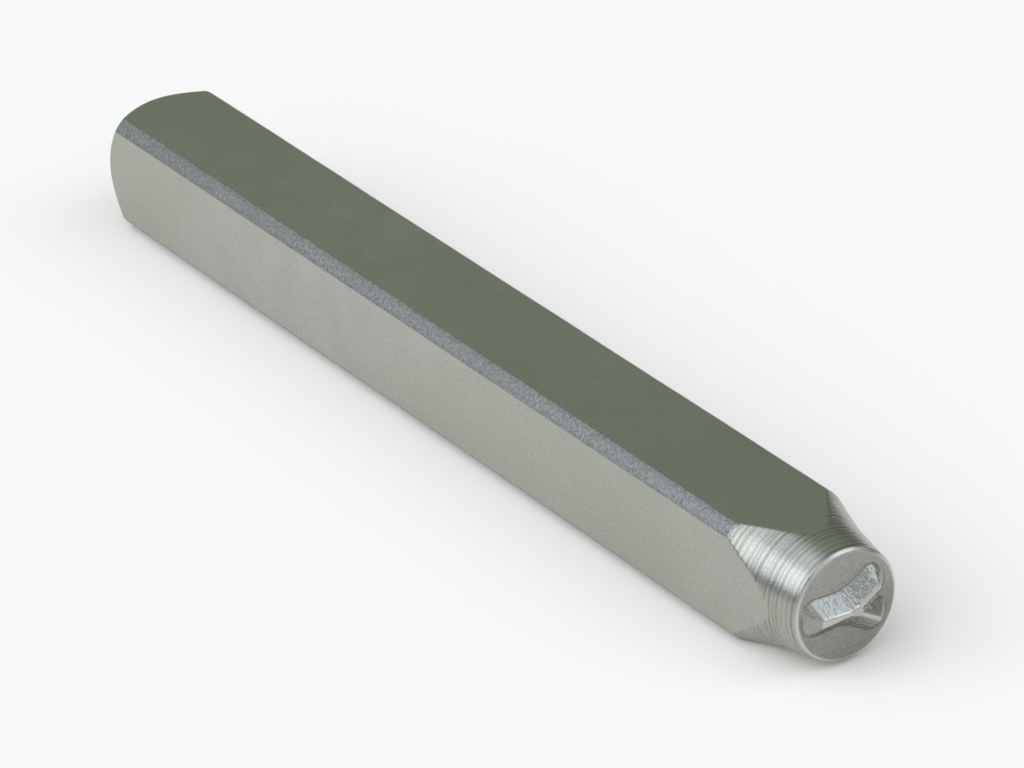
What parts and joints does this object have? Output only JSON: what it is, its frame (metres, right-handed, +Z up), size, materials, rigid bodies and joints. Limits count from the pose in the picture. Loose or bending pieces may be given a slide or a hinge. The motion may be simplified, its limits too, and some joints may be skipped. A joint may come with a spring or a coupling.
{
  "type": "steel letter punch",
  "caption": "Hand stamping punch: square steel shank turned down to a round nose with one raised letter, bevelled at the struck head.",
  "frame": {"origin": "on the surface that the punch lies on, under the middle of its overall length and width", "axes": "+X along the axis of the punch towards the letter, +Y towards the top of the letter, +Z up from the flat that it rests on"},
  "size_m": [0.06, 0.006, 0.006],
  "materials": {
    "plated_steel": "satin, with turned rings at the nose"
  },
  "bodies": {
    "root": {"punch": "plated_steel"}
  },
  "joints": []
}
